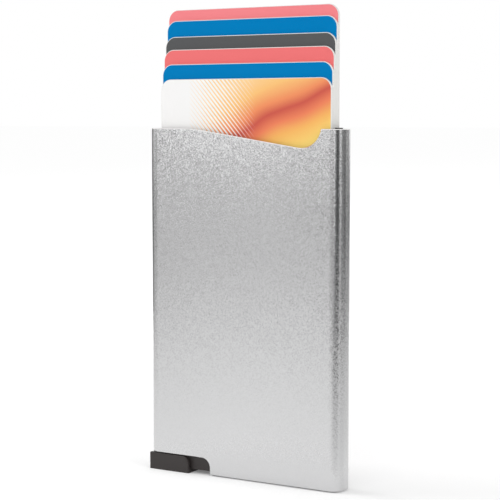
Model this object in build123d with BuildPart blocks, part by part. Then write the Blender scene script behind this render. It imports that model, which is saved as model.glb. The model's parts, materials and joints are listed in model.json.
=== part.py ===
from build123d import *
from math import asin, cos, degrees, pi, sin, tan
import os

# A pocket card holder: an aluminium sleeve with a moulded base, a sprung thumb slider and a stepped
# lever that lifts the cards like a fan. Millimetres, +Z up, front face towards -Y, and the origin is
# in the middle of the base's bottom. The cards stand raised, as after a push of the slider.

# Cards of the standard size, front card first
card_width = 53.98
card_height = 85.6
card_thickness = 0.76
card_corner = 3.18
card_gap = 0.04
card_rises = (14.8, 19.0, 23.1, 26.7, 31.2, 34.3)
card_side_gap = 0.21
card_inset = 1.2

# Sleeve, which ends just above what the base stands on
sleeve_wall = 1.0
sleeve_corner = 3.2
sleeve_lift = 0.3
rim_bevel = 0.2

# Thumb scoop in the top edge of the front wall, measured in from the sleeve's sides and rim
scoop_left_inset = 12.0
scoop_ease_length = 7.0
scoop_ease_drop = 0.6
scoop_floor_inset = 13.0
scoop_depth = 5.0
scoop_right_inset = 6.0

# Slider notch in the bottom edge of the front wall
notch_corner = 2.6
notch_spare = 0.3
notch_head_gap = 0.15

# Felt strips on the inner faces of the sleeve
felt_thickness = 0.5
felt_gap = 0.1
felt_width = 8.0
felt_height = 46.0
felt_side_inset = 2.99
felt_rim_inset = 9.0
felt_edge = 0.15

# Side liners
liner_thickness = 2.4
liner_inset = 0.4
liner_edge = 0.3
lug_width = 1.15
lug_depth = 3.0
lug_proud = 0.3
lug_round = 0.4

# Clearances and the overrun of every cut
press_gap = 0.05
run_gap = 0.1
pin_gap = 0.05
peg_gap = 0.14
cut_over = 1.0

# Moulded base
base_floor = 1.0
base_undercut = 1.1
base_roof = 0.8
undercut_spare = 0.2
rail_depth = 0.4
rail_height = 0.8
rail_lift = 0.9
window_gap = 0.2
bay_end_gap = 1.7
pocket_wall = 1.0
pocket_roof = 1.2
pocket_count = 2
seat_drop = 0.1

# Thumb slider
slider_travel = 6.5
slider_height = 3.6
slider_left_wall = 1.36
slider_tail = 6.1
tab_inset = 0.4
tab_length = 13.2
tab_proud = 0.4
tab_side_round = 0.35
tab_end_round = 2.2
foot_inset = 2.5
fork_floor = 0.6

# Ejector lever
pivot_inset = 9.0
hub_radius = 2.2
arm_root_radius = 1.8
hub_floor_gap = 0.2
hub_card_gap = 0.3
pin_radius = 0.75
crank_end_radius = 1.3
crank_thickness = 0.8
crank_floor_gap = 0.13
peg_radius = 0.8
tip_radius = 1.0
tip_card_gap = 0.2
lift_gap = 0.25

# Return spring and its guide rod
spring_length = 18.0
spring_turns = 10
spring_wire = 0.3
spring_arc_share = 1 / 4
spring_wall_gap = 0.3
spring_seat_gap = 0.02
rod_gap = 0.4
rod_seat = 3.0
rod_engage = 3.0
rod_end_gap = 0.7

# Sizes across: the card stack, what lies beside it, and the sleeve round them
card_count = len(card_rises)
card_pitch = card_thickness + card_gap
stack_depth = card_count * card_pitch
inner_half_width = card_width / 2 + card_side_gap + liner_thickness + press_gap
inner_half_depth = stack_depth / 2 + felt_gap + felt_thickness
inner_corner = sleeve_corner - sleeve_wall
sleeve_half_width = inner_half_width + sleeve_wall
sleeve_half_depth = inner_half_depth + sleeve_wall
base_half_width = inner_half_width - press_gap
base_half_depth = inner_half_depth - press_gap
base_corner = inner_corner - press_gap
bay_half_depth = stack_depth / 2 + pin_gap
slider_half_depth = bay_half_depth - run_gap

felt_offset = card_width / 2 - felt_side_inset - felt_width / 2

# Heights, from the bottom of the sleeve up
slider_bottom = base_floor + run_gap
slider_top = slider_bottom + slider_height
roof_bottom = slider_top + run_gap
bay_floor = roof_bottom + base_roof
pivot_height = bay_floor + hub_floor_gap + hub_radius
card_seat = pivot_height + hub_radius + hub_card_gap
base_top = card_seat - seat_drop
sleeve_height = card_seat + card_height + card_inset
felt_bottom = sleeve_height - felt_rim_inset - felt_height
notch_height = slider_top + notch_head_gap
spring_height = slider_bottom + slider_height / 2

# The lever's swing, from the slider's travel and the room below the pivot
crank_length = pivot_height - crank_end_radius - crank_floor_gap - fork_floor
half_swing = asin(slider_travel / 2 / crank_length)
swing = 2 * half_swing
tip_rise = card_seat - tip_card_gap - tip_radius - pivot_height
card_heights = [card_seat + rise for rise in card_rises]
reaches = [
    (height - lift_gap - tip_radius - pivot_height - tip_rise * cos(swing)) / sin(swing)
    for height in card_heights
]

# Places along the width
pivot_x = pivot_inset - inner_half_width
peg_x = pivot_x - slider_travel / 2
peg_height = pivot_height - crank_length * cos(half_swing)
fork_half = (slider_top - peg_height) * tan(half_swing) + crank_end_radius / cos(half_swing) + run_gap
slider_left = peg_x - fork_half - slider_left_wall
tab_left = tab_inset - sleeve_half_width
tab_right = tab_left + tab_length
notch_edge = tab_right + slider_travel + notch_spare
undercut_edge = notch_edge + undercut_spare
slider_right = notch_edge + slider_tail
spring_end = slider_right + spring_length
foot_left = foot_inset - inner_half_width
ledge_left = pivot_x - hub_radius - bay_end_gap
ledge_right = pivot_x + reaches[-1] + tip_radius + bay_end_gap
spring_outer_radius = slider_height / 2 - spring_wall_gap
spring_mean_radius = spring_outer_radius - spring_wire / 2
rod_radius = spring_outer_radius - spring_wire - rod_gap


def card_y(index):
    """Place of a card's middle plane, counted from the front card."""
    return (index - (card_count - 1) / 2) * card_pitch


def box_between(low, high, mode=Mode.ADD):
    """Box between two corners."""
    middle = tuple((a + b) / 2 for a, b in zip(low, high))
    with Locations(middle):
        Box(*[b - a for a, b in zip(low, high)], mode=mode)


def front_plane(y):
    """Sketch plane that faces the front, whose local y runs up."""
    return Plane((0, y, 0), x_dir=(1, 0, 0), z_dir=(0, -1, 0))


def base_outline():
    """Rounded outline of what is pressed into the sleeve."""
    RectangleRounded(2 * base_half_width, 2 * base_half_depth, base_corner)


# Aluminium sleeve
with BuildPart() as case_sleeve:
    with BuildSketch(Plane.XY.offset(sleeve_lift)):
        RectangleRounded(2 * sleeve_half_width, 2 * sleeve_half_depth, sleeve_corner)
        RectangleRounded(2 * inner_half_width, 2 * inner_half_depth, inner_corner, mode=Mode.SUBTRACT)
    extrude(amount=sleeve_height - sleeve_lift)
    with BuildSketch(front_plane(-sleeve_half_depth - cut_over)):
        scoop_left = scoop_left_inset - sleeve_half_width
        scoop_floor = sleeve_half_width - scoop_floor_inset
        scoop_right = sleeve_half_width - scoop_right_inset
        with BuildLine():
            ease = TangentArc(
                (scoop_left, sleeve_height),
                (scoop_left + scoop_ease_length, sleeve_height - scoop_ease_drop),
                tangent=(1, 0),
            )
            slope = Line(ease @ 1, (scoop_floor, sleeve_height - scoop_depth))
            rise = TangentArc(slope @ 1, (scoop_right, sleeve_height), tangent=slope % 1)
            Polyline(
                rise @ 1,
                (scoop_right, sleeve_height + cut_over),
                (scoop_left, sleeve_height + cut_over),
                ease @ 0,
            )
        make_face()
    extrude(amount=-(cut_over + sleeve_wall + felt_gap), mode=Mode.SUBTRACT)
    with BuildSketch(front_plane(-sleeve_half_depth - cut_over)):
        with BuildLine():
            outside = -sleeve_half_width - cut_over
            FilletPolyline(
                (outside, notch_height),
                (notch_edge, notch_height),
                (notch_edge, -cut_over),
                radius=notch_corner,
            )
            Polyline((notch_edge, -cut_over), (outside, -cut_over), (outside, notch_height))
        make_face()
    extrude(amount=-(cut_over + sleeve_wall), mode=Mode.SUBTRACT)
    front_face = case_sleeve.faces().filter_by(Axis.Y).sort_by(Axis.Y)[0]
    front_rim = front_face.edges().sort_by(SortBy.LENGTH)[:-2]
    chamfer(front_rim, rim_bevel)
case_sleeve.part.label = "case_sleeve"

# Base: cheeks and ledges round a slider channel, a lever bay and a spring chamber
with BuildPart() as base_chassis:
    with BuildSketch(Plane.XY):
        base_outline()
    extrude(amount=base_top)
    box_between(
        (-base_half_width - cut_over, -base_half_depth - cut_over, -cut_over),
        (undercut_edge, base_half_depth + cut_over, base_undercut),
        Mode.SUBTRACT,
    )
    box_between(
        (slider_left - run_gap, -bay_half_depth, 0),
        (undercut_edge, bay_half_depth, roof_bottom),
        Mode.SUBTRACT,
    )
    box_between(
        (undercut_edge, -bay_half_depth, base_floor),
        (spring_end, bay_half_depth, roof_bottom),
        Mode.SUBTRACT,
    )
    box_between(
        (ledge_left, -bay_half_depth, bay_floor),
        (ledge_right, bay_half_depth, base_top + cut_over),
        Mode.SUBTRACT,
    )
    window_half = (pivot_height - roof_bottom) * tan(half_swing) + crank_end_radius / cos(half_swing)
    box_between(
        (pivot_x - window_half - window_gap, -crank_thickness / 2 - window_gap, roof_bottom),
        (pivot_x + window_half + window_gap, crank_thickness / 2 + window_gap, bay_floor),
        Mode.SUBTRACT,
    )
    rail_bottom = slider_bottom + rail_lift
    for side in (-1, 1):
        low_y, high_y = sorted((side * (bay_half_depth - rail_depth), side * bay_half_depth))
        box_between(
            (slider_left - run_gap, low_y, rail_bottom),
            (undercut_edge, high_y, rail_bottom + rail_height),
        )
    pocket_left = spring_end + rod_seat + pocket_wall
    pocket_pitch = (base_half_width - pocket_left) / pocket_count
    for index in range(pocket_count):
        left = pocket_left + index * pocket_pitch
        box_between(
            (left, -base_half_depth + pocket_wall, -cut_over),
            (left + pocket_pitch - pocket_wall, base_half_depth - pocket_wall, bay_floor - pocket_roof),
            Mode.SUBTRACT,
        )
    with BuildSketch(front_plane(-base_half_depth)):
        with Locations((pivot_x, pivot_height)):
            Circle(pin_radius)
    extrude(amount=-2 * base_half_depth, mode=Mode.SUBTRACT)
    with BuildSketch(Plane.YZ.offset(spring_end)):
        with Locations((0, spring_height)):
            Circle(rod_radius)
    extrude(amount=rod_seat, mode=Mode.SUBTRACT)
base_chassis.part.label = "base_chassis"

# Side liners, which guide the edges of the cards
liner_top = sleeve_height - liner_inset
with BuildPart() as right_side_liner:
    with BuildSketch(Plane.XY.offset(base_top)):
        base_outline()
        with Locations((-liner_thickness, 0)):
            Rectangle(2 * base_half_width, 2 * (base_half_depth + cut_over), mode=Mode.SUBTRACT)
    extrude(amount=liner_top - base_top)
    inner_edges = right_side_liner.edges().filter_by(Axis.Z).group_by(Axis.X)[0]
    fillet(inner_edges, liner_edge)
    lug_middle = base_half_width - liner_thickness + liner_edge + lug_width / 2
    with BuildSketch(Plane.XY.offset(liner_top)):
        with Locations((lug_middle, 0)):
            RectangleRounded(lug_width, lug_depth, lug_round)
    extrude(amount=liner_inset + lug_proud)
right_side_liner.part.label = "right_side_liner"

with BuildPart() as left_side_liner:
    with BuildSketch(Plane.XY.offset(base_top)):
        base_outline()
        with Locations((liner_thickness, 0)):
            Rectangle(2 * base_half_width, 2 * (base_half_depth + cut_over), mode=Mode.SUBTRACT)
    extrude(amount=liner_top - base_top)
    inner_edges = left_side_liner.edges().filter_by(Axis.Z).group_by(Axis.X)[-1]
    fillet(inner_edges, liner_edge)
left_side_liner.part.label = "left_side_liner"


def felt_strip(name, side_x, side_y):
    """Felt strip bonded to an inner face of the sleeve."""
    with BuildPart() as strip:
        near = side_y * (inner_half_depth - felt_thickness)
        low_y, high_y = sorted((near, side_y * inner_half_depth))
        middle = side_x * felt_offset
        box_between(
            (middle - felt_width / 2, low_y, felt_bottom),
            (middle + felt_width / 2, high_y, felt_bottom + felt_height),
        )
        inner_face = strip.faces().filter_by(Axis.Y).sort_by(Axis.Y)[-1 if side_y < 0 else 0]
        chamfer(inner_face.edges(), felt_edge)
    strip.part.label = name
    return strip.part


front_felt_left = felt_strip("front_felt_left", -1, -1)
front_felt_right = felt_strip("front_felt_right", 1, -1)
rear_felt_left = felt_strip("rear_felt_left", -1, 1)
rear_felt_right = felt_strip("rear_felt_right", 1, 1)

# Thumb slider: a tab in the notch, a foot below the front cheek, and a forked bar in the channel
tab_back = -inner_half_depth - run_gap
with BuildPart() as thumb_slider:
    with BuildSketch(front_plane(tab_back)):
        with BuildLine():
            FilletPolyline(
                (tab_left, slider_top),
                (tab_right, slider_top),
                (tab_right, 0),
                radius=tab_end_round,
            )
            Polyline((tab_right, 0), (tab_left, 0), (tab_left, slider_top))
        make_face()
    extrude(amount=sleeve_half_depth + tab_proud + tab_back)
    tab_front = thumb_slider.faces().sort_by(Axis.Y)[0]
    fillet(tab_front.edges().sort_by(Axis.Z)[1:], tab_side_round)
    box_between((foot_left, tab_back, 0), (tab_right, -slider_half_depth, base_floor))
    box_between((foot_left, -slider_half_depth, 0), (tab_right, slider_half_depth, slider_top))
    box_between(
        (slider_left, -slider_half_depth, slider_bottom),
        (slider_right, slider_half_depth, slider_top),
    )
    groove_floor = bay_half_depth - rail_depth - run_gap
    for side in (-1, 1):
        low_y, high_y = sorted((side * groove_floor, side * slider_half_depth))
        box_between(
            (slider_left, low_y, rail_bottom - run_gap),
            (slider_right, high_y, rail_bottom + rail_height + run_gap),
            Mode.SUBTRACT,
        )
    box_between(
        (peg_x - fork_half, -crank_thickness / 2 - run_gap, fork_floor),
        (peg_x + fork_half, crank_thickness / 2 + run_gap, slider_top),
        Mode.SUBTRACT,
    )
    slot_bottom = pivot_height - crank_length - peg_radius - peg_gap
    slot_top = peg_height + peg_radius + peg_gap
    box_between(
        (peg_x - peg_radius - peg_gap, -slider_half_depth, slot_bottom),
        (peg_x + peg_radius + peg_gap, slider_half_depth, slot_top),
        Mode.SUBTRACT,
    )
    with BuildSketch(Plane.YZ.offset(slider_right)):
        with Locations((0, spring_height)):
            Circle(rod_radius + run_gap)
    extrude(amount=-(rod_engage + slider_travel + rod_end_gap), mode=Mode.SUBTRACT)
thumb_slider.part.label = "thumb_slider"

# Ejector lever: a hub with one arm below each card, and a crank in the slider's fork
with BuildPart() as ejector_lever:
    with BuildSketch(front_plane(stack_depth / 2)):
        with Locations((pivot_x, pivot_height)):
            Circle(hub_radius)
    extrude(amount=stack_depth)
    for index, reach in enumerate(reaches):
        with BuildSketch(front_plane(card_y(index) + card_pitch / 2)):
            with Locations((pivot_x, pivot_height)):
                Circle(arm_root_radius)
            with Locations((pivot_x + reach, pivot_height + tip_rise)):
                Circle(tip_radius)
            make_hull()
        extrude(amount=card_pitch)
    with BuildSketch(front_plane(crank_thickness / 2)):
        with Locations((pivot_x, pivot_height)):
            Circle(crank_end_radius)
        with Locations((peg_x, peg_height)):
            Circle(crank_end_radius)
        make_hull()
    extrude(amount=crank_thickness)
    with BuildSketch(front_plane(base_half_depth)):
        with Locations((pivot_x, pivot_height)):
            Circle(pin_radius + pin_gap)
        with Locations((peg_x, peg_height)):
            Circle(peg_radius)
    extrude(amount=2 * base_half_depth, mode=Mode.SUBTRACT)
ejector_lever.part.label = "ejector_lever"

# Steel pins and the guide rod
with BuildPart() as pivot_pin:
    with BuildSketch(front_plane(base_half_depth)):
        with Locations((pivot_x, pivot_height)):
            Circle(pin_radius)
    extrude(amount=2 * base_half_depth)
pivot_pin.part.label = "pivot_pin"

peg_half_length = groove_floor - pin_gap
with BuildPart() as drive_peg:
    with BuildSketch(front_plane(peg_half_length)):
        with Locations((peg_x, peg_height)):
            Circle(peg_radius)
    extrude(amount=2 * peg_half_length)
drive_peg.part.label = "drive_peg"

with BuildPart() as guide_rod:
    with BuildSketch(Plane.YZ.offset(slider_right - rod_engage)):
        with Locations((0, spring_height)):
            Circle(rod_radius)
    extrude(amount=rod_engage + spring_length + rod_seat)
guide_rod.part.label = "guide_rod"


def coil_point(turn):
    """Point on the middle line of the spring's wire, turns counted from the slider's end."""
    angle = 2 * pi * turn
    along = spring_start + turn * spring_pitch
    return Vector(along, spring_mean_radius * cos(angle), spring_height + spring_mean_radius * sin(angle))


def coil_direction(turn):
    """Direction of the wire at the same place."""
    angle = 2 * pi * turn
    around = 2 * pi * spring_mean_radius
    return Vector(spring_pitch, -around * sin(angle), around * cos(angle)).normalized()


def coil_arcs(turn):
    """Two tangent arcs that carry the wire through one share of a turn."""
    start, end = coil_point(turn), coil_point(turn + spring_arc_share)
    leave, arrive = coil_direction(turn), coil_direction(turn + spring_arc_share)
    step, lean = end - start, leave + arrive
    square = lean.dot(lean) - 4
    half_linear = step.dot(lean)
    reach = (half_linear - (half_linear**2 - square * step.dot(step)) ** 0.5) / square
    first, second = start + leave * reach, end - arrive * reach
    joint = (first + second) / 2
    TangentArc(start, joint, tangent=leave)
    TangentArc(joint, end, tangent=second - first)


# Return spring, between the slider's tail and the end of its chamber
wire_radius = spring_wire / 2
spring_start = slider_right + wire_radius + spring_seat_gap
spring_pitch = (spring_length - spring_wire - 2 * spring_seat_gap) / spring_turns
with BuildPart() as return_spring:
    with BuildLine():
        for step_number in range(round(spring_turns / spring_arc_share)):
            coil_arcs(step_number * spring_arc_share)
    with BuildSketch(Plane(coil_point(0), z_dir=coil_direction(0))):
        Circle(wire_radius)
    sweep()
return_spring.part.label = "return_spring"
samples_per_turn = 24
coil_points = [coil_point(n / samples_per_turn) for n in range(spring_turns * samples_per_turn + 1)]
coil_gap = min(
    (a - b).length - spring_wire
    for n, a in enumerate(coil_points)
    for b in coil_points[n + samples_per_turn // 2 :]
)
print("least gap between the spring's turns", round(coil_gap, 3))


def card(index):
    """Card of the standard size, raised on its step of the lever."""
    with BuildPart() as blank:
        with BuildSketch(front_plane(card_y(index) + card_thickness / 2)):
            with Locations((0, card_heights[index] + card_height / 2)):
                RectangleRounded(card_width, card_height, card_corner)
        extrude(amount=card_thickness)
    blank.part.label = "card_" + str(index + 1)
    return blank.part


cards = [card(index) for index in range(card_count)]

os.makedirs("parts", exist_ok=True)
pieces = [
    case_sleeve.part,
    base_chassis.part,
    left_side_liner.part,
    right_side_liner.part,
    front_felt_left,
    front_felt_right,
    rear_felt_left,
    rear_felt_right,
    thumb_slider.part,
    ejector_lever.part,
    pivot_pin.part,
    drive_peg.part,
    guide_rod.part,
    return_spring.part,
    *cards,
]
for piece in pieces:
    export_step(piece, "parts/" + piece.label + ".step")

print("swing in degrees", round(degrees(swing), 4))
print("swing in radians per mm of travel", round(swing / slider_travel, 7))
print("pivot at", round(pivot_x, 4), round(pivot_height, 4))
print("sleeve", 2 * sleeve_half_width, 2 * sleeve_half_depth, sleeve_height)
print("bottoms of the cards", card_heights)
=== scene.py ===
import json
import math

import bmesh
import bpy
from bpy.props import FloatProperty, FloatVectorProperty, IntProperty, PointerProperty
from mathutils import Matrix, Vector


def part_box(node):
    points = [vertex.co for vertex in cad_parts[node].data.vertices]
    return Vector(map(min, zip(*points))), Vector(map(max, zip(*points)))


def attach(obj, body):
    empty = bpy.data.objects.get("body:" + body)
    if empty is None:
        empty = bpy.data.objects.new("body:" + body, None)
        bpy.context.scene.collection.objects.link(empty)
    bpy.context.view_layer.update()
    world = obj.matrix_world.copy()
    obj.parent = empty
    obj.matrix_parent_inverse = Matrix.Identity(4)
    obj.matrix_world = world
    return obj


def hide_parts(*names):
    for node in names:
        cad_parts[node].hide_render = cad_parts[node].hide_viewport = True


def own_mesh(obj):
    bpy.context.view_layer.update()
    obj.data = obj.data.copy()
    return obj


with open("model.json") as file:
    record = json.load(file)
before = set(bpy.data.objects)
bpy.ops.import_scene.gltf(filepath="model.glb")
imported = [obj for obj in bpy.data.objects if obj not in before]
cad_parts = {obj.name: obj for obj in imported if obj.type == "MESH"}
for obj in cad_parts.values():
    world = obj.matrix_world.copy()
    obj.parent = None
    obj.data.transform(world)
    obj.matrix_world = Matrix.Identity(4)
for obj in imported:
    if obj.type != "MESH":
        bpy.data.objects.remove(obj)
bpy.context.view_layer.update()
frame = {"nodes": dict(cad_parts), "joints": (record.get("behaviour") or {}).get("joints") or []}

bl_info = {
    "name": "Aluminium card holder",
    "version": (1, 0, 0),
    "blender": (4, 5, 0),
    "location": "3D View > Sidebar > Card Holder",
    "description": "Finishes, cards, felt strips, coil spring and stage for the packed card holder",
    "category": "Object",
}

MM = 0.001
FULL_TURN = 2 * math.pi
# Detail and roughness of a fine noise
FINE = (3.0, 0.6)


def linear(red, green, blue):
    """Scene colour for the 0 to 255 values that a picture shows, by the standard curve."""
    shares = [value / 255 for value in (red, green, blue)]
    return tuple(s / 12.92 if s <= 0.04045 else ((s + 0.055) / 1.055) ** 2.4 for s in shares)


def colour_property(name, description, default):
    """A colour that the sidebar offers."""
    return FloatVectorProperty(name=name, description=description, subtype="COLOR", size=3, min=0, max=1,
                               default=default)


def length_property(name, description, default):
    """A length in metres that the sidebar offers."""
    return FloatProperty(name=name, description=description, default=default, min=0, unit="LENGTH",
                         precision=5)


def share_property(name, description, default):
    """A number from 0 to 1 that the sidebar offers."""
    return FloatProperty(name=name, description=description, default=default, min=0, max=1,
                         subtype="FACTOR")


def power_property(name, description, default):
    """A lamp's power in watts that the sidebar offers."""
    return FloatProperty(name=name, description=description, default=default, min=0, unit="POWER")


# Shader and geometry maths


class Term:
    """One output in a node tree, so that arithmetic on it adds the Math nodes."""

    def __init__(self, graph, socket):
        self.graph = graph
        self.socket = socket

    def __add__(self, other):
        return self.graph.sum_of("ADD", self, other)

    def __radd__(self, other):
        return self.graph.sum_of("ADD", other, self)

    def __sub__(self, other):
        return self.graph.sum_of("SUBTRACT", self, other)

    def __rsub__(self, other):
        return self.graph.sum_of("SUBTRACT", other, self)

    def __mul__(self, other):
        return self.graph.sum_of("MULTIPLY", self, other)

    def __rmul__(self, other):
        return self.graph.sum_of("MULTIPLY", other, self)

    def __truediv__(self, other):
        return self.graph.sum_of("DIVIDE", self, other)

    def __rtruediv__(self, other):
        return self.graph.sum_of("DIVIDE", other, self)

    def __pow__(self, other):
        return self.graph.sum_of("POWER", self, other)

    def __abs__(self):
        return self.graph.sum_of("ABSOLUTE", self)

    def at_least(self, other):
        """The larger of both."""
        return self.graph.sum_of("MAXIMUM", self, other)

    def at_most(self, other):
        """The smaller of both."""
        return self.graph.sum_of("MINIMUM", self, other)

    def sine(self):
        return self.graph.sum_of("SINE", self)

    def cosine(self):
        return self.graph.sum_of("COSINE", self)

    def ramp(self, low, high):
        """Smoothly 0 at low and 1 at high."""
        return self.graph.term(
            "ShaderNodeMapRange", {"interpolation_type": "SMOOTHSTEP"},
            {"Value": self, "From Min": low, "From Max": high}, "Result")


class Graph:
    """Adds nodes to a tree, each with its settings first and then its sockets' values or links."""

    def __init__(self, tree):
        self.tree = tree

    def node(self, kind, settings=None, values=None):
        """A new node, whose values are numbers or the outputs of other nodes."""
        made = self.tree.nodes.new(kind)
        for key, value in (settings or {}).items():
            if key == "stops":
                self.set_stops(made.color_ramp, value)
            else:
                setattr(made, key, value)
        for key, value in (values or {}).items():
            socket = made.inputs[key]
            if isinstance(value, Term):
                self.tree.links.new(value.socket, socket)
            else:
                socket.default_value = value
        return made

    def term(self, kind, settings=None, values=None, output=0):
        """One output of a new node."""
        return Term(self, self.node(kind, settings, values).outputs[output])

    def sum_of(self, operation, *values):
        """The result of a new Math node."""
        return self.term("ShaderNodeMath", {"operation": operation}, dict(enumerate(values)))

    @staticmethod
    def set_stops(ramp, stops):
        """Gives a colour ramp its stops, each a place from 0 to 1 and a colour."""
        while len(ramp.elements) < len(stops):
            ramp.elements.new(1)
        for element, (place, colour) in zip(ramp.elements, stops):
            element.position = place
            element.color = (*colour, 1)

    def split(self, vector):
        """The three parts of a vector."""
        parts = self.node("ShaderNodeSeparateXYZ", None, {0: vector})
        return [Term(self, output) for output in parts.outputs]

    def mixed(self, share, first, second):
        """The first colour where share is 0 and the second where it is 1."""
        sides = [value if isinstance(value, Term) else (*value, 1) for value in (first, second)]
        return self.term("ShaderNodeMix", {"data_type": "RGBA"}, {0: share, 6: sides[0], 7: sides[1]}, 2)

    def stops(self, share, stops):
        """The colour that a ramp of stops has at share."""
        return self.term("ShaderNodeValToRGB", {"stops": stops}, {0: share})

    def noise(self, place, size, detail=2.0, roughness=0.5, stretch=(1, 1, 1)):
        """Noise with features of about that size in metres, longer along axes with more stretch."""
        if stretch != (1, 1, 1):
            scale = [1 / share for share in stretch]
            place = self.term("ShaderNodeMapping", None, {"Vector": place, "Scale": scale})
        return self.term("ShaderNodeTexNoise", None,
                         {"Vector": place, "Scale": 1 / size, "Detail": detail, "Roughness": roughness})


class Finish(Graph):
    """A material with one Principled shader."""

    def __init__(self, name):
        self.material = bpy.data.materials.new(name)
        self.material.use_nodes = True
        super().__init__(self.material.node_tree)
        self.shader = next(n for n in self.tree.nodes if n.type == "BSDF_PRINCIPLED")
        coordinates = self.node("ShaderNodeTexCoord")
        self.place = Term(self, coordinates.outputs["Object"])
        self.facing = Term(self, coordinates.outputs["Normal"])

    def set(self, **values):
        """Sets or links the shader's sockets, whose names have _ for spaces."""
        for key, value in values.items():
            socket = self.shader.inputs[key.replace("_", " ").title().replace("Ior", "IOR")]
            if isinstance(value, Term):
                self.tree.links.new(value.socket, socket)
            elif socket.type == "RGBA":
                socket.default_value = (*value, 1)
            else:
                socket.default_value = value

    def relief(self, height, depth):
        """A bump of that depth in metres."""
        return self.term("ShaderNodeBump", None, {"Strength": 1.0, "Distance": depth, "Height": height})

    def facets(self, size, lean):
        """The normal of small facets, each of which leans its own way."""
        middle = (0.5, 0.5, 0.5)
        own = self.term("ShaderNodeTexVoronoi", None, {"Vector": self.place, "Scale": 1 / size}, "Color")
        offset = self.term("ShaderNodeVectorMath", {"operation": "SUBTRACT"}, {0: own, 1: middle})
        offset = self.term("ShaderNodeVectorMath", {"operation": "SCALE"}, {0: offset, "Scale": lean})
        upright = self.term("ShaderNodeNewGeometry", None, None, "Normal")
        leant = self.term("ShaderNodeVectorMath", {"operation": "ADD"}, {0: upright, 1: offset})
        return self.term("ShaderNodeVectorMath", {"operation": "NORMALIZE"}, {0: leant})


# Meshes


def new_piece(name, data):
    """An object at the origin that holds a mesh, a lamp or a camera."""
    piece = bpy.data.objects.new(name, data)
    bpy.context.scene.collection.objects.link(piece)
    return piece


def rounded_outline(half_width, half_height, corner, steps):
    """The outline of a rectangle with rounded corners, as (across, up) pairs."""
    points = []
    for quarter, (side, end) in enumerate(((1, 1), (-1, 1), (-1, -1), (1, -1))):
        for step in range(steps + 1):
            angle = math.radians(90 * (quarter + step / steps))
            points.append((side * (half_width - corner) + corner * math.cos(angle),
                           end * (half_height - corner) + corner * math.sin(angle)))
    return points


def rounded_plate(name, low, high, corner, edge, corner_steps=16, edge_steps=4):
    """A plate that stands across y, with rounded corners and rounded edges."""
    centre = (low + high) / 2
    half = (high - low) / 2
    layers = []
    for step in range(edge_steps + 1):
        angle = math.radians(90 * step / edge_steps)
        layers.append((edge * (1 - math.sin(angle)), half.y - edge * (1 - math.cos(angle))))
    layers += [(inset, -depth) for inset, depth in reversed(layers)]
    shape = bmesh.new()
    rings = []
    for inset, depth in layers:
        outline = rounded_outline(half.x - inset, half.z - inset, corner - inset, corner_steps)
        rings.append([shape.verts.new((centre.x + x, centre.y - depth, centre.z + z))
                      for x, z in outline])
    count = len(rings[0])
    for near, far in zip(rings, rings[1:]):
        for index in range(count):
            after = (index + 1) % count
            face = shape.faces.new((near[index], near[after], far[after], far[index]))
            face.smooth = True
    for ring in (rings[0], rings[-1]):
        shape.faces.new(ring)
    bmesh.ops.recalc_face_normals(shape, faces=shape.faces)
    mesh = bpy.data.meshes.new(name)
    shape.to_mesh(mesh)
    shape.free()
    return new_piece(name, mesh)


def dress(material, *nodes):
    """Gives CAD nodes, whose shapes are right, a finish."""
    for node in nodes:
        for place in frame["nodes"][node].material_slots:
            place.material = material


def settle(piece, material, body, slot, *replaced):
    """Gives a new piece its finish, its body and the nodes that it stands for. The slot is not used."""
    piece.data.materials.clear()
    piece.data.materials.append(material)
    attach(piece, body)
    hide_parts(*replaced)


class Growth(Graph):
    """A geometry tree with a mesh in, a mesh out and named inputs, run once on a piece."""

    def __init__(self, name, inputs):
        tree = bpy.data.node_groups.new(name, "GeometryNodeTree")
        super().__init__(tree)
        tree.interface.new_socket("Mesh", in_out="INPUT", socket_type="NodeSocketGeometry")
        tree.interface.new_socket("Mesh", in_out="OUTPUT", socket_type="NodeSocketGeometry")
        self.values = inputs
        for label, (kind, _) in inputs.items():
            tree.interface.new_socket(label, in_out="INPUT", socket_type="NodeSocket" + kind)
        entry = self.node("NodeGroupInput")
        self.inputs = {output.name: Term(self, output) for output in entry.outputs if output.name}

    def finish(self, geometry):
        """Ends the tree in real geometry with a material."""
        solid = self.term("GeometryNodeRealizeInstances", None, {0: geometry})
        painted = self.term("GeometryNodeSetMaterial", None,
                            {"Geometry": solid, "Material": self.inputs["Material"]})
        self.node("NodeGroupOutput", None, {0: painted})

    def grow(self, piece):
        """Turns a piece into the plain mesh that the tree makes of it."""
        modifier = piece.modifiers.new(self.tree.name, "NODES")
        modifier.node_group = self.tree
        for item in self.tree.interface.items_tree:
            if item.in_out == "INPUT" and item.name in self.values:
                modifier[item.identifier] = self.values[item.name][1]
        bpy.context.view_layer.update()
        evaluated = piece.evaluated_get(bpy.context.evaluated_depsgraph_get())
        mesh = bpy.data.meshes.new_from_object(evaluated)
        piece.modifiers.remove(modifier)
        piece.data = mesh
        if not mesh.polygons:
            raise RuntimeError(piece.name + " has no faces")
        return piece


# Sizes and colours that a user would change


class SleeveLook(bpy.types.PropertyGroup):
    """Finish of the aluminium sleeve."""

    colour: colour_property("Anodised colour", "Colour of the blasted walls", (0.63, 0.63, 0.635))
    roughness: share_property("Roughness", "Roughness of the blasted walls", 0.18)
    grain_size: length_property("Grain size", "Width of one blasted dimple", 0.28 * MM)
    grain_lean: share_property("Grain lean", "How far the dimples' faces lean off the wall", 0.1)
    cut_colour: colour_property("Cut edge colour", "Colour of the cut edges", (0.86, 0.85, 0.84))
    cut_roughness: share_property("Cut edge roughness", "Roughness of the cut edges", 0.2)


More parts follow.
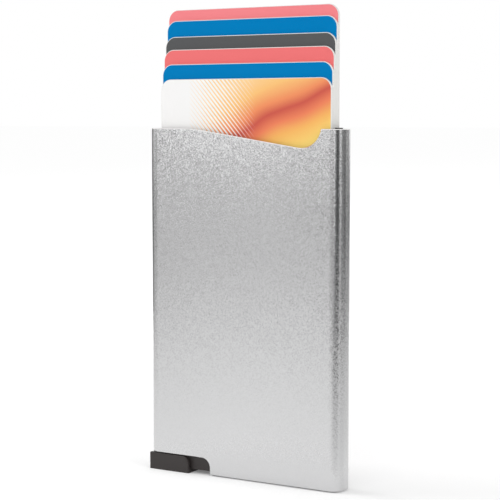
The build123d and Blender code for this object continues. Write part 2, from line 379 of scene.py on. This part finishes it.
class MouldedLook(bpy.types.PropertyGroup):
    """Finish of the moulded black pieces."""

    colour: colour_property("Moulded colour", "Colour of the black plastic", linear(42, 37, 36))
    roughness: share_property("Roughness", "Roughness of the moulded faces", 0.5)
    texture_size: length_property("Texture size", "Width of one grain of the mould's texture", 0.16 * MM)
    texture_depth: length_property("Texture depth", "Depth of the mould's texture", 0.004 * MM)


class SteelLook(bpy.types.PropertyGroup):
    """Finish of the pins, the rod and the coil spring, and the form of the spring."""

    colour: colour_property("Steel colour", "Colour of the ground steel", (0.56, 0.56, 0.57))
    wire_colour: colour_property("Wire colour", "Colour of the drawn spring wire", (0.5, 0.5, 0.52))
    roughness: share_property("Roughness", "Roughness of the steel", 0.28)
    wire: length_property("Wire thickness", "Diameter of the spring's wire", 0.3 * MM)
    turns: FloatProperty(name="Turns", description="Turns of the spring, with its closed ends",
                         default=10, min=3)
    end_pitch: length_property("End pitch", "Distance between the turns of the closed ends", 0.5 * MM)


class FeltLook(bpy.types.PropertyGroup):
    """Finish and fibres of the felt strips."""

    colour: colour_property("Felt colour", "Colour of the pressed felt", (0.03, 0.03, 0.032))
    fibre_length: length_property("Fibre length", "Length of a loose fibre", 0.45 * MM)
    fibre_thickness: length_property("Fibre thickness", "Thickness of a loose fibre", 0.022 * MM)
    fibre_density: FloatProperty(name="Fibre density", description="Loose fibres on a square metre",
                                 default=7e6)
    seed: IntProperty(name="Seed", description="Seed for the fibres' places", default=7)


class CardLook(bpy.types.PropertyGroup):
    """Colours and edges of the six cards."""

    warm: colour_property("Front card", "Warm colour of the front card's print", linear(248, 186, 104))
    blue: colour_property("Blue cards", "Print of the second and fifth cards", linear(0, 124, 187))
    coral: colour_property("Coral card", "Print of the third card", linear(238, 119, 120))
    grey: colour_property("Grey card", "Print of the fourth card", linear(90, 91, 92))
    pink: colour_property("Pink card", "Print of the rear card", linear(243, 136, 141))
    core: colour_property("Card core", "White plastic at a card's edges", linear(226, 225, 222))
    margin: length_property("Margin", "Width of the bare edge round the print", 0.17 * MM)
    corner: length_property("Corner radius", "Radius of a card's corners", 3.18 * MM)
    edge: length_property("Edge rounding", "Rounding of a card's cut edge", 0.1 * MM)


class StageLook(bpy.types.PropertyGroup):
    """Floor, light and camera."""

    floor: share_property("Floor brightness", "Share of the light that the floor returns", 0.91)
    floor_lift: share_property("Floor lift", "Brightness added where the floor is seen", 0.14)
    far_lift: share_property("Far lift", "Brightness added beyond the reach of the softboxes", 0.3)
    ambient: share_property("Ambient light", "Strength of the even light", 0.6)
    key: power_property("Key light", "Power of the front softbox", 2.4)
    left: power_property("Left light", "Power of the left softbox", 10)
    right: power_property("Right light", "Power of the right softbox", 5)
    lens: FloatProperty(name="Lens", description="Focal length in mm on a 36 mm sensor", default=109.082,
                        unit="CAMERA")


LOOKS = {
    "card_holder_sleeve": SleeveLook,
    "card_holder_moulded": MouldedLook,
    "card_holder_steel": SteelLook,
    "card_holder_felt": FeltLook,
    "card_holder_cards": CardLook,
    "card_holder_stage": StageLook,
}


# Operators


class CARDHOLDER_OT_sleeve(bpy.types.Operator):
    """Give the sleeve its blasted and anodised metal, with bright cut edges"""

    bl_idname = "card_holder.sleeve"
    bl_label = "Finish the sleeve"

    def execute(self, context):
        look = context.scene.card_holder_sleeve
        rounding, blend = 3.6 * MM, 0.1 * MM
        wall_facing, rim_facing = (0.97, 0.9), (0.3, 0.45)
        foot_fade = (0.8 * MM, 1.0 * MM)
        cloud_size, cloud_spread = 9 * MM, 0.04
        metal = Finish("blasted_anodised_aluminium")
        across, _, height = metal.split(metal.place)
        _, facing_y, facing_z = metal.split(metal.facing)
        flat_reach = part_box("case_sleeve")[1].x - rounding
        on_flat = abs(across).ramp(flat_reach + blend, flat_reach - blend)
        off_wall = abs(facing_y).ramp(*wall_facing) * on_flat
        cut = facing_z.ramp(*rim_facing).at_least(off_wall) * height.ramp(*foot_fade)
        clouds = metal.noise(metal.place, cloud_size)
        cut_change = look.cut_roughness - look.roughness
        metal.set(
            base_color=metal.mixed(cut, look.colour, look.cut_colour),
            metallic=1.0,
            roughness=look.roughness + cloud_spread * (clouds - 0.5) + cut_change * cut,
            normal=metal.facets(look.grain_size, look.grain_lean * (1 - cut)),
        )
        dress(metal.material, "case_sleeve")
        return {"FINISHED"}


class CARDHOLDER_OT_mouldings(bpy.types.Operator):
    """Give the base, the side liners, the slider and the lever their textured black plastic"""

    bl_idname = "card_holder.mouldings"
    bl_label = "Finish the mouldings"

    def execute(self, context):
        look = context.scene.card_holder_moulded
        flow_size, flow_stretch, flow_share = 5 * MM, (2.5, 1, 1), 0.7
        lighter_by, roughness_spread = 1.25, 0.12
        plastic = Finish("textured_black_plastic")
        grain = plastic.noise(plastic.place, look.texture_size, *FINE)
        flow = plastic.noise(plastic.place, flow_size, stretch=flow_stretch)
        lighter = [min(1, lighter_by * value) for value in look.colour]
        unevenness = flow_share * flow + (1 - flow_share) * grain
        plastic.set(
            base_color=plastic.mixed(unevenness, look.colour, lighter),
            roughness=look.roughness + roughness_spread * (grain - 0.5),
            normal=plastic.relief(grain, look.texture_depth),
        )
        dress(plastic.material, "base_chassis", "left_side_liner", "right_side_liner", "thumb_slider",
              "ejector_lever")
        return {"FINISHED"}


class CARDHOLDER_OT_pins(bpy.types.Operator):
    """Give the pivot pin, the drive peg and the guide rod their ground steel"""

    bl_idname = "card_holder.pins"
    bl_label = "Finish the pins and the rod"

    def execute(self, context):
        look = context.scene.card_holder_steel
        line_width, line_depth, roughness_spread = 0.05 * MM, 0.002 * MM, 0.12
        longer = 9
        for name, nodes, stretch in (
            ("ground_pins", ("pivot_pin", "drive_peg"), (longer, 1, longer)),
            ("ground_rod", ("guide_rod",), (1, longer, longer)),
        ):
            steel = Finish(name)
            lines = steel.noise(steel.place, line_width, *FINE, stretch)
            steel.set(
                base_color=look.colour,
                metallic=1.0,
                roughness=look.roughness + roughness_spread * (lines - 0.5),
                normal=steel.relief(lines, line_depth),
            )
            dress(steel.material, *nodes)
        return {"FINISHED"}


class CARDHOLDER_OT_spring(bpy.types.Operator):
    """Wind the coil spring along the return spring's length"""

    bl_idname = "card_holder.spring"
    bl_label = "Wind the spring"

    def execute(self, context):
        look = context.scene.card_holder_steel
        points_a_turn, wire_sides = 36, 12
        low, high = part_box("return_spring")
        wire = self.drawn_wire(look)
        coil = Growth("wound_coil", {
            "Start": ("Vector", (low.x + look.wire / 2, 0, (low.z + high.z) / 2)),
            "Length": ("Float", high.x - low.x - look.wire),
            "Coil Radius": ("Float", (high.z - low.z - look.wire) / 2),
            "Wire Radius": ("Float", look.wire / 2),
            "Turns": ("Float", look.turns),
            "End Turns": ("Float", 1.0),
            "End Pitch": ("Float", look.end_pitch),
            "Points": ("Int", int(points_a_turn * look.turns)),
            "Material": ("Material", wire),
        })
        given = coil.inputs
        turns, end_turns, end_pitch = given["Turns"], given["End Turns"], given["End Pitch"]
        middle_pitch = (given["Length"] - 2 * end_turns * end_pitch) / (turns - 2 * end_turns)
        turn = coil.term("GeometryNodeSplineParameter") * turns
        closed = turn.at_most(end_turns) + (turn - (turns - end_turns)).at_least(0)
        angle = turn * FULL_TURN
        bend = coil.term("ShaderNodeCombineXYZ", None, {
            0: middle_pitch * turn + (end_pitch - middle_pitch) * closed,
            1: given["Coil Radius"] * angle.sine(),
            2: given["Coil Radius"] * angle.cosine(),
        })
        place = coil.term("ShaderNodeVectorMath", {"operation": "ADD"}, {0: bend, 1: given["Start"]})
        line = coil.term("GeometryNodeCurvePrimitiveLine", None, {"Start": (0, 0, 0), "End": (1, 0, 0)})
        points = coil.term("GeometryNodeResampleCurve", {"mode": "COUNT"},
                           {"Curve": line, "Count": given["Points"]})
        helix = coil.term("GeometryNodeSetPosition", None, {"Geometry": points, "Position": place})
        round_wire = coil.term("GeometryNodeCurvePrimitiveCircle", {"mode": "RADIUS"},
                               {"Resolution": wire_sides, "Radius": given["Wire Radius"]})
        tube = coil.term("GeometryNodeCurveToMesh", None,
                         {"Curve": helix, "Profile Curve": round_wire, "Fill Caps": True})
        smooth = coil.term("GeometryNodeSetShadeSmooth", {"domain": "FACE"}, {"Geometry": tube})
        coil.finish(smooth)
        spring = coil.grow(new_piece("coil_spring", bpy.data.meshes.new("coil_spring")))
        settle(spring, wire, "case", "spring_steel", "return_spring")
        slide = next(joint for joint in frame["joints"] if joint["name"] == "slider_slide")
        full = high.x - low.x
        (full - slide["range_m"][1]) / full
        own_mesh(spring)
        return {"FINISHED"}

    @staticmethod
    def drawn_wire(look):
        """Spring wire with the faint lines of its drawing."""
        streak_width, streak_stretch, streak_depth = 0.04 * MM, (1, 5, 5), 0.0015 * MM
        roughness_spread = 0.15
        wire = Finish("drawn_spring_wire")
        streaks = wire.noise(wire.place, streak_width, *FINE, streak_stretch)
        wire.set(
            base_color=look.wire_colour,
            metallic=1.0,
            roughness=look.roughness + roughness_spread * (streaks - 0.5),
            normal=wire.relief(streaks, streak_depth),
        )
        return wire.material


class CARDHOLDER_OT_felts(bpy.types.Operator):
    """Lay the felt strips, with loose fibres on the faces that hold the cards"""

    bl_idname = "card_holder.felts"
    bl_label = "Lay the felt strips"

    def execute(self, context):
        look = context.scene.card_holder_felt
        pad_corner, pad_edge, corner_steps, edge_steps = 0.6 * MM, 0.15 * MM, 5, 2
        felt = self.pressed_felt(look)
        for name, side in (("front_felt_left", 1), ("front_felt_right", 1), ("rear_felt_left", -1),
                           ("rear_felt_right", -1)):
            low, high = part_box(name)
            pad = rounded_plate(name + "_pad", low, high, pad_corner, pad_edge, corner_steps, edge_steps)
            settle(self.with_fibres(pad, felt, side, look), felt, "case", "felt", name)
        return {"FINISHED"}

    @staticmethod
    def pressed_felt(look):
        """Dark tangled wool with paler patches."""
        tangle_size, tangle_depth, tangle_share, patch_size = 0.12 * MM, 0.03 * MM, 0.7, 2.5 * MM
        tangle_detail, tangle_roughness, tangle_stretch = 4.0, 0.65, (1, 1, 2)
        paler_by, felt_roughness, sheen = 2.4, 0.95, 0.3
        felt = Finish("pressed_felt")
        tangle = felt.noise(felt.place, tangle_size, tangle_detail, tangle_roughness, tangle_stretch)
        patches = felt.noise(felt.place, patch_size)
        paler = [min(1, paler_by * value) for value in look.colour]
        unevenness = tangle_share * tangle + (1 - tangle_share) * patches
        felt.set(
            base_color=felt.mixed(unevenness, look.colour, paler),
            roughness=felt_roughness,
            sheen_weight=sheen,
            normal=felt.relief(tangle, tangle_depth),
        )
        return felt.material

    def with_fibres(self, pad, material, side, look):
        """A pad with fibres that lie nearly flat on the face towards the cards."""
        facing_cards, fibre_sides, fibre_points = 0.9, 3, 3
        bow_aside_share, bow_along_share = 0.12, 0.5
        nearly_flat, scales = (math.radians(80), math.radians(86)), (0.6, 1.2)
        tree = Growth("felt_fibres_of_" + pad.name, {
            "Fibre Length": ("Float", look.fibre_length),
            "Fibre Radius": ("Float", look.fibre_thickness / 2),
            "Density": ("Float", look.fibre_density),
            "Towards Cards": ("Vector", (0, side, 0)),
            "Seed": ("Int", look.seed),
            "Material": ("Material", material),
        })
        given = tree.inputs
        normal = tree.term("GeometryNodeInputNormal")
        towards = tree.term("ShaderNodeVectorMath", {"operation": "DOT_PRODUCT"},
                            {0: normal, 1: given["Towards Cards"]}, "Value")
        facing = tree.term("FunctionNodeCompare", {"data_type": "FLOAT", "operation": "GREATER_THAN"},
                           {0: towards, 1: facing_cards})
        spots = tree.node("GeometryNodeDistributePointsOnFaces", {"distribute_method": "RANDOM"},
                          {"Mesh": given["Mesh"], "Selection": facing, "Density": given["Density"],
                           "Seed": given["Seed"]})
        length = given["Fibre Length"]
        bow = tree.term("ShaderNodeCombineXYZ", None,
                        {0: bow_aside_share * length, 1: 0.0, 2: bow_along_share * length})
        tip = tree.term("ShaderNodeCombineXYZ", None, {0: 0.0, 1: 0.0, 2: length})
        line = tree.term("GeometryNodeCurveQuadraticBezier", None,
                         {"Resolution": fibre_points, "Start": (0, 0, 0), "Middle": bow, "End": tip})
        section = tree.term("GeometryNodeCurvePrimitiveCircle", {"mode": "RADIUS"},
                            {"Resolution": fibre_sides, "Radius": given["Fibre Radius"]})
        fibre = tree.term("GeometryNodeCurveToMesh", None,
                          {"Curve": line, "Profile Curve": section, "Fill Caps": True})
        lean = self.chance(tree, given["Seed"], 1, *nearly_flat)
        spin = self.chance(tree, given["Seed"], 2, 0.0, FULL_TURN)
        size = self.chance(tree, given["Seed"], 3, *scales)
        turned = tree.term("FunctionNodeEulerToRotation", None,
                           {0: tree.term("ShaderNodeCombineXYZ", None, {0: lean, 1: 0.0, 2: spin})})
        rotation = tree.term("FunctionNodeRotateRotation", {"rotation_space": "LOCAL"},
                             {0: Term(tree, spots.outputs["Rotation"]), 1: turned})
        fibres = tree.term("GeometryNodeInstanceOnPoints", None,
                           {"Points": Term(tree, spots.outputs["Points"]), "Instance": fibre,
                            "Rotation": rotation, "Scale": size})
        joined = tree.node("GeometryNodeJoinGeometry")
        for part in (given["Mesh"], fibres):
            tree.tree.links.new(part.socket, joined.inputs[0])
        tree.finish(Term(tree, joined.outputs[0]))
        return tree.grow(pad)

    @staticmethod
    def chance(tree, seed, offset, low, high):
        """A random number for each point."""
        return tree.term("FunctionNodeRandomValue", {"data_type": "FLOAT"},
                         {2: low, 3: high, "Seed": seed + offset}, 1)


class CARDHOLDER_OT_cards(bpy.types.Operator):
    """Make the six cards, each a rounded plate with a print and a bare white edge"""

    bl_idname = "card_holder.cards"
    bl_label = "Make the cards"

    def execute(self, context):
        look = context.scene.card_holder_cards
        rows = (
            ("card_1", "warm_front_card", "card_warm_print", None),
            ("card_2", "blue_second_card", "card_blue", look.blue),
            ("card_3", "coral_third_card", "card_coral", look.coral),
            ("card_4", "grey_fourth_card", "card_grey", look.grey),
            ("card_5", "blue_fifth_card", "card_blue", look.blue),
            ("card_6", "pink_rear_card", "card_pink", look.pink),
        )
        for node, name, slot, colour in rows:
            low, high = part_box(node)
            plate = rounded_plate(name, low, high, look.corner, look.edge)
            material = self.printed(name + "_print", low, high, look, colour)
            settle(plate, material, node, slot, node)
        return {"FINISHED"}

    def printed(self, name, low, high, look, colour):
        """Laminated print on a white core. Without a colour it is the front card's warm design."""
        speckle_size, ripple_size, ripple_depth, speckle_relief = 0.09 * MM, 1.6 * MM, 0.006 * MM, 0.2
        ink_blend, design_unevenness, plain_unevenness = 0.02 * MM, 0.05, 0.035
        core_roughness, print_roughness, roughness_spread = 0.55, 0.38, 0.05
        edge_facing, shine = 0.2, 0.02
        card = Finish(name)
        centre = (low + high) / 2
        half = (high - low) / 2
        centred = card.term("ShaderNodeMapping", None, {"Vector": card.place, "Location": -centre})
        across, _, up = card.split(centred)
        _, facing_y, _ = card.split(card.facing)
        past_side = abs(across) - (half.x - look.corner)
        past_end = abs(up) - (half.z - look.corner)
        outside = (past_side.at_least(0) ** 2 + past_end.at_least(0) ** 2) ** 0.5
        depth = outside + past_side.at_least(past_end).at_most(0) - look.corner
        inked = depth.ramp(-look.margin + ink_blend, -look.margin - ink_blend)
        speckle = card.noise(card.place, speckle_size)
        if colour is None:
            design = self.warm_design(card, across, up, half, look)
            front = self.inked_front(card, design, design_unevenness * speckle)
        else:
            front = self.inked_front(card, colour, plain_unevenness * speckle)
        back = self.striped_back(card, across / half.x, colour)
        print_colour = card.mixed(facing_y.ramp(-edge_facing, edge_facing), front, back)
        ripple = card.noise(card.place, ripple_size, detail=1.0)
        gloss = core_roughness + (print_roughness - core_roughness) * inked
        card.set(
            base_color=card.mixed(inked, look.core, print_colour),
            roughness=gloss + roughness_spread * (speckle - 0.5),
            normal=card.relief(ripple + speckle_relief * speckle, ripple_depth),
            specular_ior_level=shine,
        )
        return card.material

    @staticmethod
    def inked_front(card, colour, unevenness):
        """A print with the faint unevenness of ink."""
        return card.mixed(unevenness, colour, (0, 0, 0))

    @staticmethod
    def striped_back(card, place, colour):
        """The back, with a dark stripe along one side. Place is 0 in the middle and 1 at the side."""
        stripe_from, stripe_to, stripe_blend = 0.36, 0.832, 0.002
        pale, dark = linear(228, 226, 222), linear(30, 28, 28)
        stripe = place.ramp(stripe_from, stripe_from + stripe_blend)
        stripe = stripe * place.ramp(stripe_to, stripe_to - stripe_blend)
        return card.mixed(stripe, pale if colour is None else colour, dark)

    @staticmethod
    def warm_design(card, across, up, half, look):
        """Slanting, slightly waved bands of warm colours, which white lines cut finer to the left."""
        slope, below_top, arc_width = 0.42, 16 * MM, 30 * MM
        wave_size, wave_stretch, wave_share = 16 * MM, (1.6, 1, 1), 0.22
        line_pitch, line_rise, line_blend = 1.3 * MM, 0.9, 0.12
        lines_begin, lines_widen, all_bare = (4 * MM, 1 * MM), (2 * MM, -17 * MM), (-15 * MM, -18 * MM)
        slant = up - slope * across - (half.z - below_top)
        wave = card.noise(card.place, wave_size, detail=1.0, stretch=wave_stretch)
        share = slant / arc_width + 0.5 + wave_share * (wave - 0.5)
        field = card.stops(share, (
            (0.0, linear(250, 178, 96)),
            (0.18, linear(255, 222, 126)),
            (0.34, look.warm),
            (0.46, linear(238, 134, 96)),
            (0.56, linear(206, 92, 80)),
            (0.64, linear(240, 146, 100)),
            (0.8, linear(250, 196, 124)),
            (1.0, linear(252, 212, 156)),
        ))
        lines = 0.5 + 0.5 * ((across + line_rise * up) * (FULL_TURN / line_pitch)).sine()
        solid = 1 - across.ramp(*lines_widen)
        bare = (lines - solid).ramp(-line_blend, line_blend).at_least(across.ramp(*all_bare))
        return card.mixed(bare * across.ramp(*lines_begin), field, linear(246, 245, 244))


# How bright the glowing screens are low down and above, by the angle round the stage in degrees: 0 is the
# front, 90 the right and -90 the left. Only the metal shows them, as painted reflections, with painted
# shade where dark.
LOW_TONES = (
    (-180, 0.5), (-165, 0.2), (-150, 0.0), (-130, 0.13), (-110, 0.29), (-90, 0.43), (-72, 0.6),
    (-60, 0.6), (-43, 0.7), (-31, 0.88), (-18, 0.75), (4, 0.5), (14, 0.45), (22, 0.3), (29, 0.16),
    (64, 0.22), (76, 0.6), (90, 0.4), (118, 0.4), (138, 0.35), (160, 0.6), (180, 0.5),
)
HIGH_TONES = (
    (-180, 0.8), (-165, 0.4), (-150, 0.0), (-130, 0.1), (-110, 0.25), (-90, 0.45), (-72, 0.62),
    (-60, 0.62), (-50, 0.58), (-43, 0.58), (-37, 0.85), (-31, 1.0), (-25, 0.88), (-18, 0.78), (-8, 0.7),
    (4, 0.78), (14, 0.85), (22, 0.92), (29, 0.7), (36, 0.3), (43, 0.14), (57, 0.1), (64, 0.16),
    (71, 0.6), (79, 0.9), (87, 0.6), (97, 0.28), (118, 0.24), (138, 0.24), (150, 0.38), (165, 0.7),
    (180, 0.8),
)


class CARDHOLDER_OT_stage(bpy.types.Operator):
    """Set out the pale floor, the soft studio light and the camera"""

    bl_idname = "card_holder.stage"
    bl_label = "Set the stage"

    def execute(self, context):
        scene = context.scene
        look = scene.card_holder_stage
        self.lay_floor(look)
        self.stand_screens()
        self.light_world(scene, look)
        for name, place, power in (
            ("front_softbox", (0.1, -1.15, 0.5), look.key),
            ("left_softbox", (-1.1, -0.15, 0.6), look.left),
            ("right_softbox", (1.1, -0.15, 0.6), look.right),
        ):
            self.hang_softbox(name, place, power)
        self.set_camera(scene, look)
        scene.view_settings.view_transform = "Standard"
        return {"FINISHED"}

    @staticmethod
    def set_camera(scene, look):
        """The camera, whose place was worked out from the cards' known width."""
        place, tilt_down, turn = (0.213555, -0.357697, 0.100116), 0.08675, 0.53689
        sensor_width, nearest, farthest = 36, 0.01, 100
        view = bpy.data.cameras.new("view_camera")
        view.lens = look.lens
        view.sensor_width = sensor_width
        view.clip_start = nearest
        view.clip_end = farthest
        camera = new_piece("view_camera", view)
        camera.location = place
        camera.rotation_euler = (math.pi / 2 - tilt_down, 0, turn)
        scene.camera = camera

    @staticmethod
    def seen(graph):
        """1 for a ray from the camera, or one that metal or glass sends on."""
        path = graph.node("ShaderNodeLightPath")
        camera, glossy, through = (Term(graph, path.outputs[name]) for name in (
            "Is Camera Ray", "Is Glossy Ray", "Is Transmission Ray"))
        return camera.at_least(glossy).at_least(through)

    def lay_floor(self, look):
        """A wide pale floor, which fades to the white background."""
        reach, lifted = 15.0, (0.1, 0.8)
        mesh = bpy.data.meshes.new("floor")
        corners = [(-reach, -reach, 0), (reach, -reach, 0), (reach, reach, 0), (-reach, reach, 0)]
        mesh.from_pydata(corners, [], [(0, 1, 2, 3)])
        pale = Finish("pale_floor")
        x, y, _ = pale.split(pale.place)
        lift = look.floor_lift + look.far_lift * ((x * x + y * y) ** 0.5).ramp(*lifted)
        pale.set(base_color=(look.floor,) * 3, roughness=1.0, specular_ior_level=0.0,
                 emission_color=(1.0, 1.0, 1.0), emission_strength=self.seen(pale) * lift)
        mesh.materials.append(pale.material)
        new_piece("floor", mesh)

    def stand_screens(self):
        """Glowing screens round the stage and on its front floor, which only show in metal, as painted
        reflections.
        """
        radius, height, sides = 0.36, 0.26, 144
        lift, inner_share, floor_from, floor_to = 0.001, 0.12, -40, 66
        ring = [(radius * math.sin(FULL_TURN * i / sides), -radius * math.cos(FULL_TURN * i / sides))
                for i in range(sides)]
        points = [(x, y, lift) for x, y in ring] + [(x, y, height) for x, y in ring]
        points += [(inner_share * x, inner_share * y, lift) for x, y in ring]
        faces = []
        for i in range(sides):
            after = (i + 1) % sides
            faces.append((i, i + sides, after + sides, after))
        for i in range(floor_from, floor_to):
            here, after = i % sides, (i + 1) % sides
            faces.append((here, after, after + 2 * sides, here + 2 * sides))
        mesh = bpy.data.meshes.new("screens")
        mesh.from_pydata(points, [], faces)
        mesh.materials.append(self.screen_glow(radius, height, lift))
        screens = new_piece("screens", mesh)
        screens.visible_camera = False
        screens.visible_diffuse = False
        screens.visible_transmission = False
        screens.visible_shadow = False

    @staticmethod
    def screen_glow(radius, height, lift):
        """Painted reflection tones: plain tones low down, soft patches above, white at the top and on the
        floor near the middle, less white on its right side as painted shade.
        """
        patch_size, patch_edges, patch_contrast, patch_dimming = 0.021, (0.42, 0.58), 1.6, 1.15
        patches_fade_in, upper_glow, upper_fade_in = (0.005, 0.05), 0.6, (0.06, 0.1)
        low_fade_out, open_share = (0.05, 0.01), 0.7
        painted_floor_reflection, right_painted_shade, right_fade_in = (1.11, 1.11, 1.11), 0.25, (0, 0.08)
        grey = Finish("studio_screens")
        x, y, z = grey.split(grey.place)
        turn = grey.sum_of("ARCTAN2", x, -1 * y) / FULL_TURN + 0.5
        low_tone, high_tone = (
            grey.stops(turn, [((angle + 180) / 360, (level,) * 3) for angle, level in tones])
            for tones in (LOW_TONES, HIGH_TONES)
        )
        # Soft patches of glow above, which the metal's tilted facets show as painted glints.
        patches = grey.noise(grey.place, patch_size, 0.0).ramp(*patch_edges)
        uneven = 1 + z.ramp(*patches_fade_in) * (patch_contrast * patches - patch_dimming)
        uneven = uneven + upper_glow * z.ramp(*upper_fade_in)
        shown = grey.term("ShaderNodeVectorMath", {"operation": "SCALE"}, {0: high_tone, "Scale": uneven})
        lit = grey.mixed(z.ramp(*low_fade_out), shown, low_tone)
        # The floor sheet paints the reflection of the lit floor near the middle, dimmer on the right as
        # painted shade of the floor.
        on_floor = z.ramp(2 * lift, 1.5 * lift)
        reach = (x * x + y * y) ** 0.5
        near = on_floor * (1 - reach / radius).at_least(0) ** 0.5
        lit = grey.mixed(near * (1 - right_painted_shade * x.ramp(*right_fade_in)), lit, painted_floor_reflection)
        lit = grey.mixed(z.ramp(open_share * height, height), lit, (1, 1, 1))
        glow = grey.node("ShaderNodeEmission", None, {"Color": lit})
        out = next(n for n in grey.tree.nodes if n.type == "OUTPUT_MATERIAL")
        grey.tree.links.new(glow.outputs[0], out.inputs[0])
        return grey.material

    def light_world(self, scene, look):
        """Even light from all sides, which shows as white to the camera and in metal."""
        world = bpy.data.worlds.new("studio")
        world.use_nodes = True
        scene.world = world
        air = Graph(world.node_tree)
        back = next(n for n in world.node_tree.nodes if n.type == "BACKGROUND")
        back.inputs["Color"].default_value = (1, 1, 1, 1)
        strength = look.ambient + (1 - look.ambient) * self.seen(air)
        world.node_tree.links.new(strength.socket, back.inputs["Strength"])

    @staticmethod
    def hang_softbox(name, place, power):
        """A square lamp that points at the object and shows in nothing that shines."""
        size, aim = 0.9, (0, 0, 0.06)
        lamp = bpy.data.lights.new(name, "AREA")
        lamp.shape = "SQUARE"
        lamp.size = size
        lamp.energy = power
        box = new_piece(name, lamp)
        box.location = place
        box.rotation_euler = (Vector(aim) - Vector(place)).to_track_quat("-Z", "Y").to_euler()
        box.visible_glossy = False


class CARDHOLDER_PT_panel(bpy.types.Panel):
    """Lists the steps that dress the card holder"""

    bl_idname = "CARDHOLDER_PT_panel"
    bl_label = "Card holder"
    bl_space_type = "VIEW_3D"
    bl_region_type = "UI"
    bl_category = "Card Holder"

    def draw(self, context):
        for step in STEPS:
            self.layout.operator(step.bl_idname)
        for name, look in LOOKS.items():
            box = self.layout.box()
            for label in look.__annotations__:
                box.prop(getattr(context.scene, name), label)


STEPS = (
    CARDHOLDER_OT_sleeve,
    CARDHOLDER_OT_mouldings,
    CARDHOLDER_OT_pins,
    CARDHOLDER_OT_spring,
    CARDHOLDER_OT_felts,
    CARDHOLDER_OT_cards,
    CARDHOLDER_OT_stage,
)


def register():
    """Adds the looks, the steps and the panel to Blender."""
    for name, look in LOOKS.items():
        bpy.utils.register_class(look)
        setattr(bpy.types.Scene, name, PointerProperty(type=look))
    for kind in (*STEPS, CARDHOLDER_PT_panel):
        bpy.utils.register_class(kind)


def unregister():
    """Takes the panel, the steps and the looks out of Blender."""
    for kind in (CARDHOLDER_PT_panel, *reversed(STEPS)):
        bpy.utils.unregister_class(kind)
    for name, look in reversed(LOOKS.items()):
        delattr(bpy.types.Scene, name)
        bpy.utils.unregister_class(look)


def main():
    """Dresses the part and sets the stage."""
    register()
    for step in STEPS:
        group, action = step.bl_idname.split(".")
        getattr(getattr(bpy.ops, group), action)()


if __name__ == "__main__":
    main()
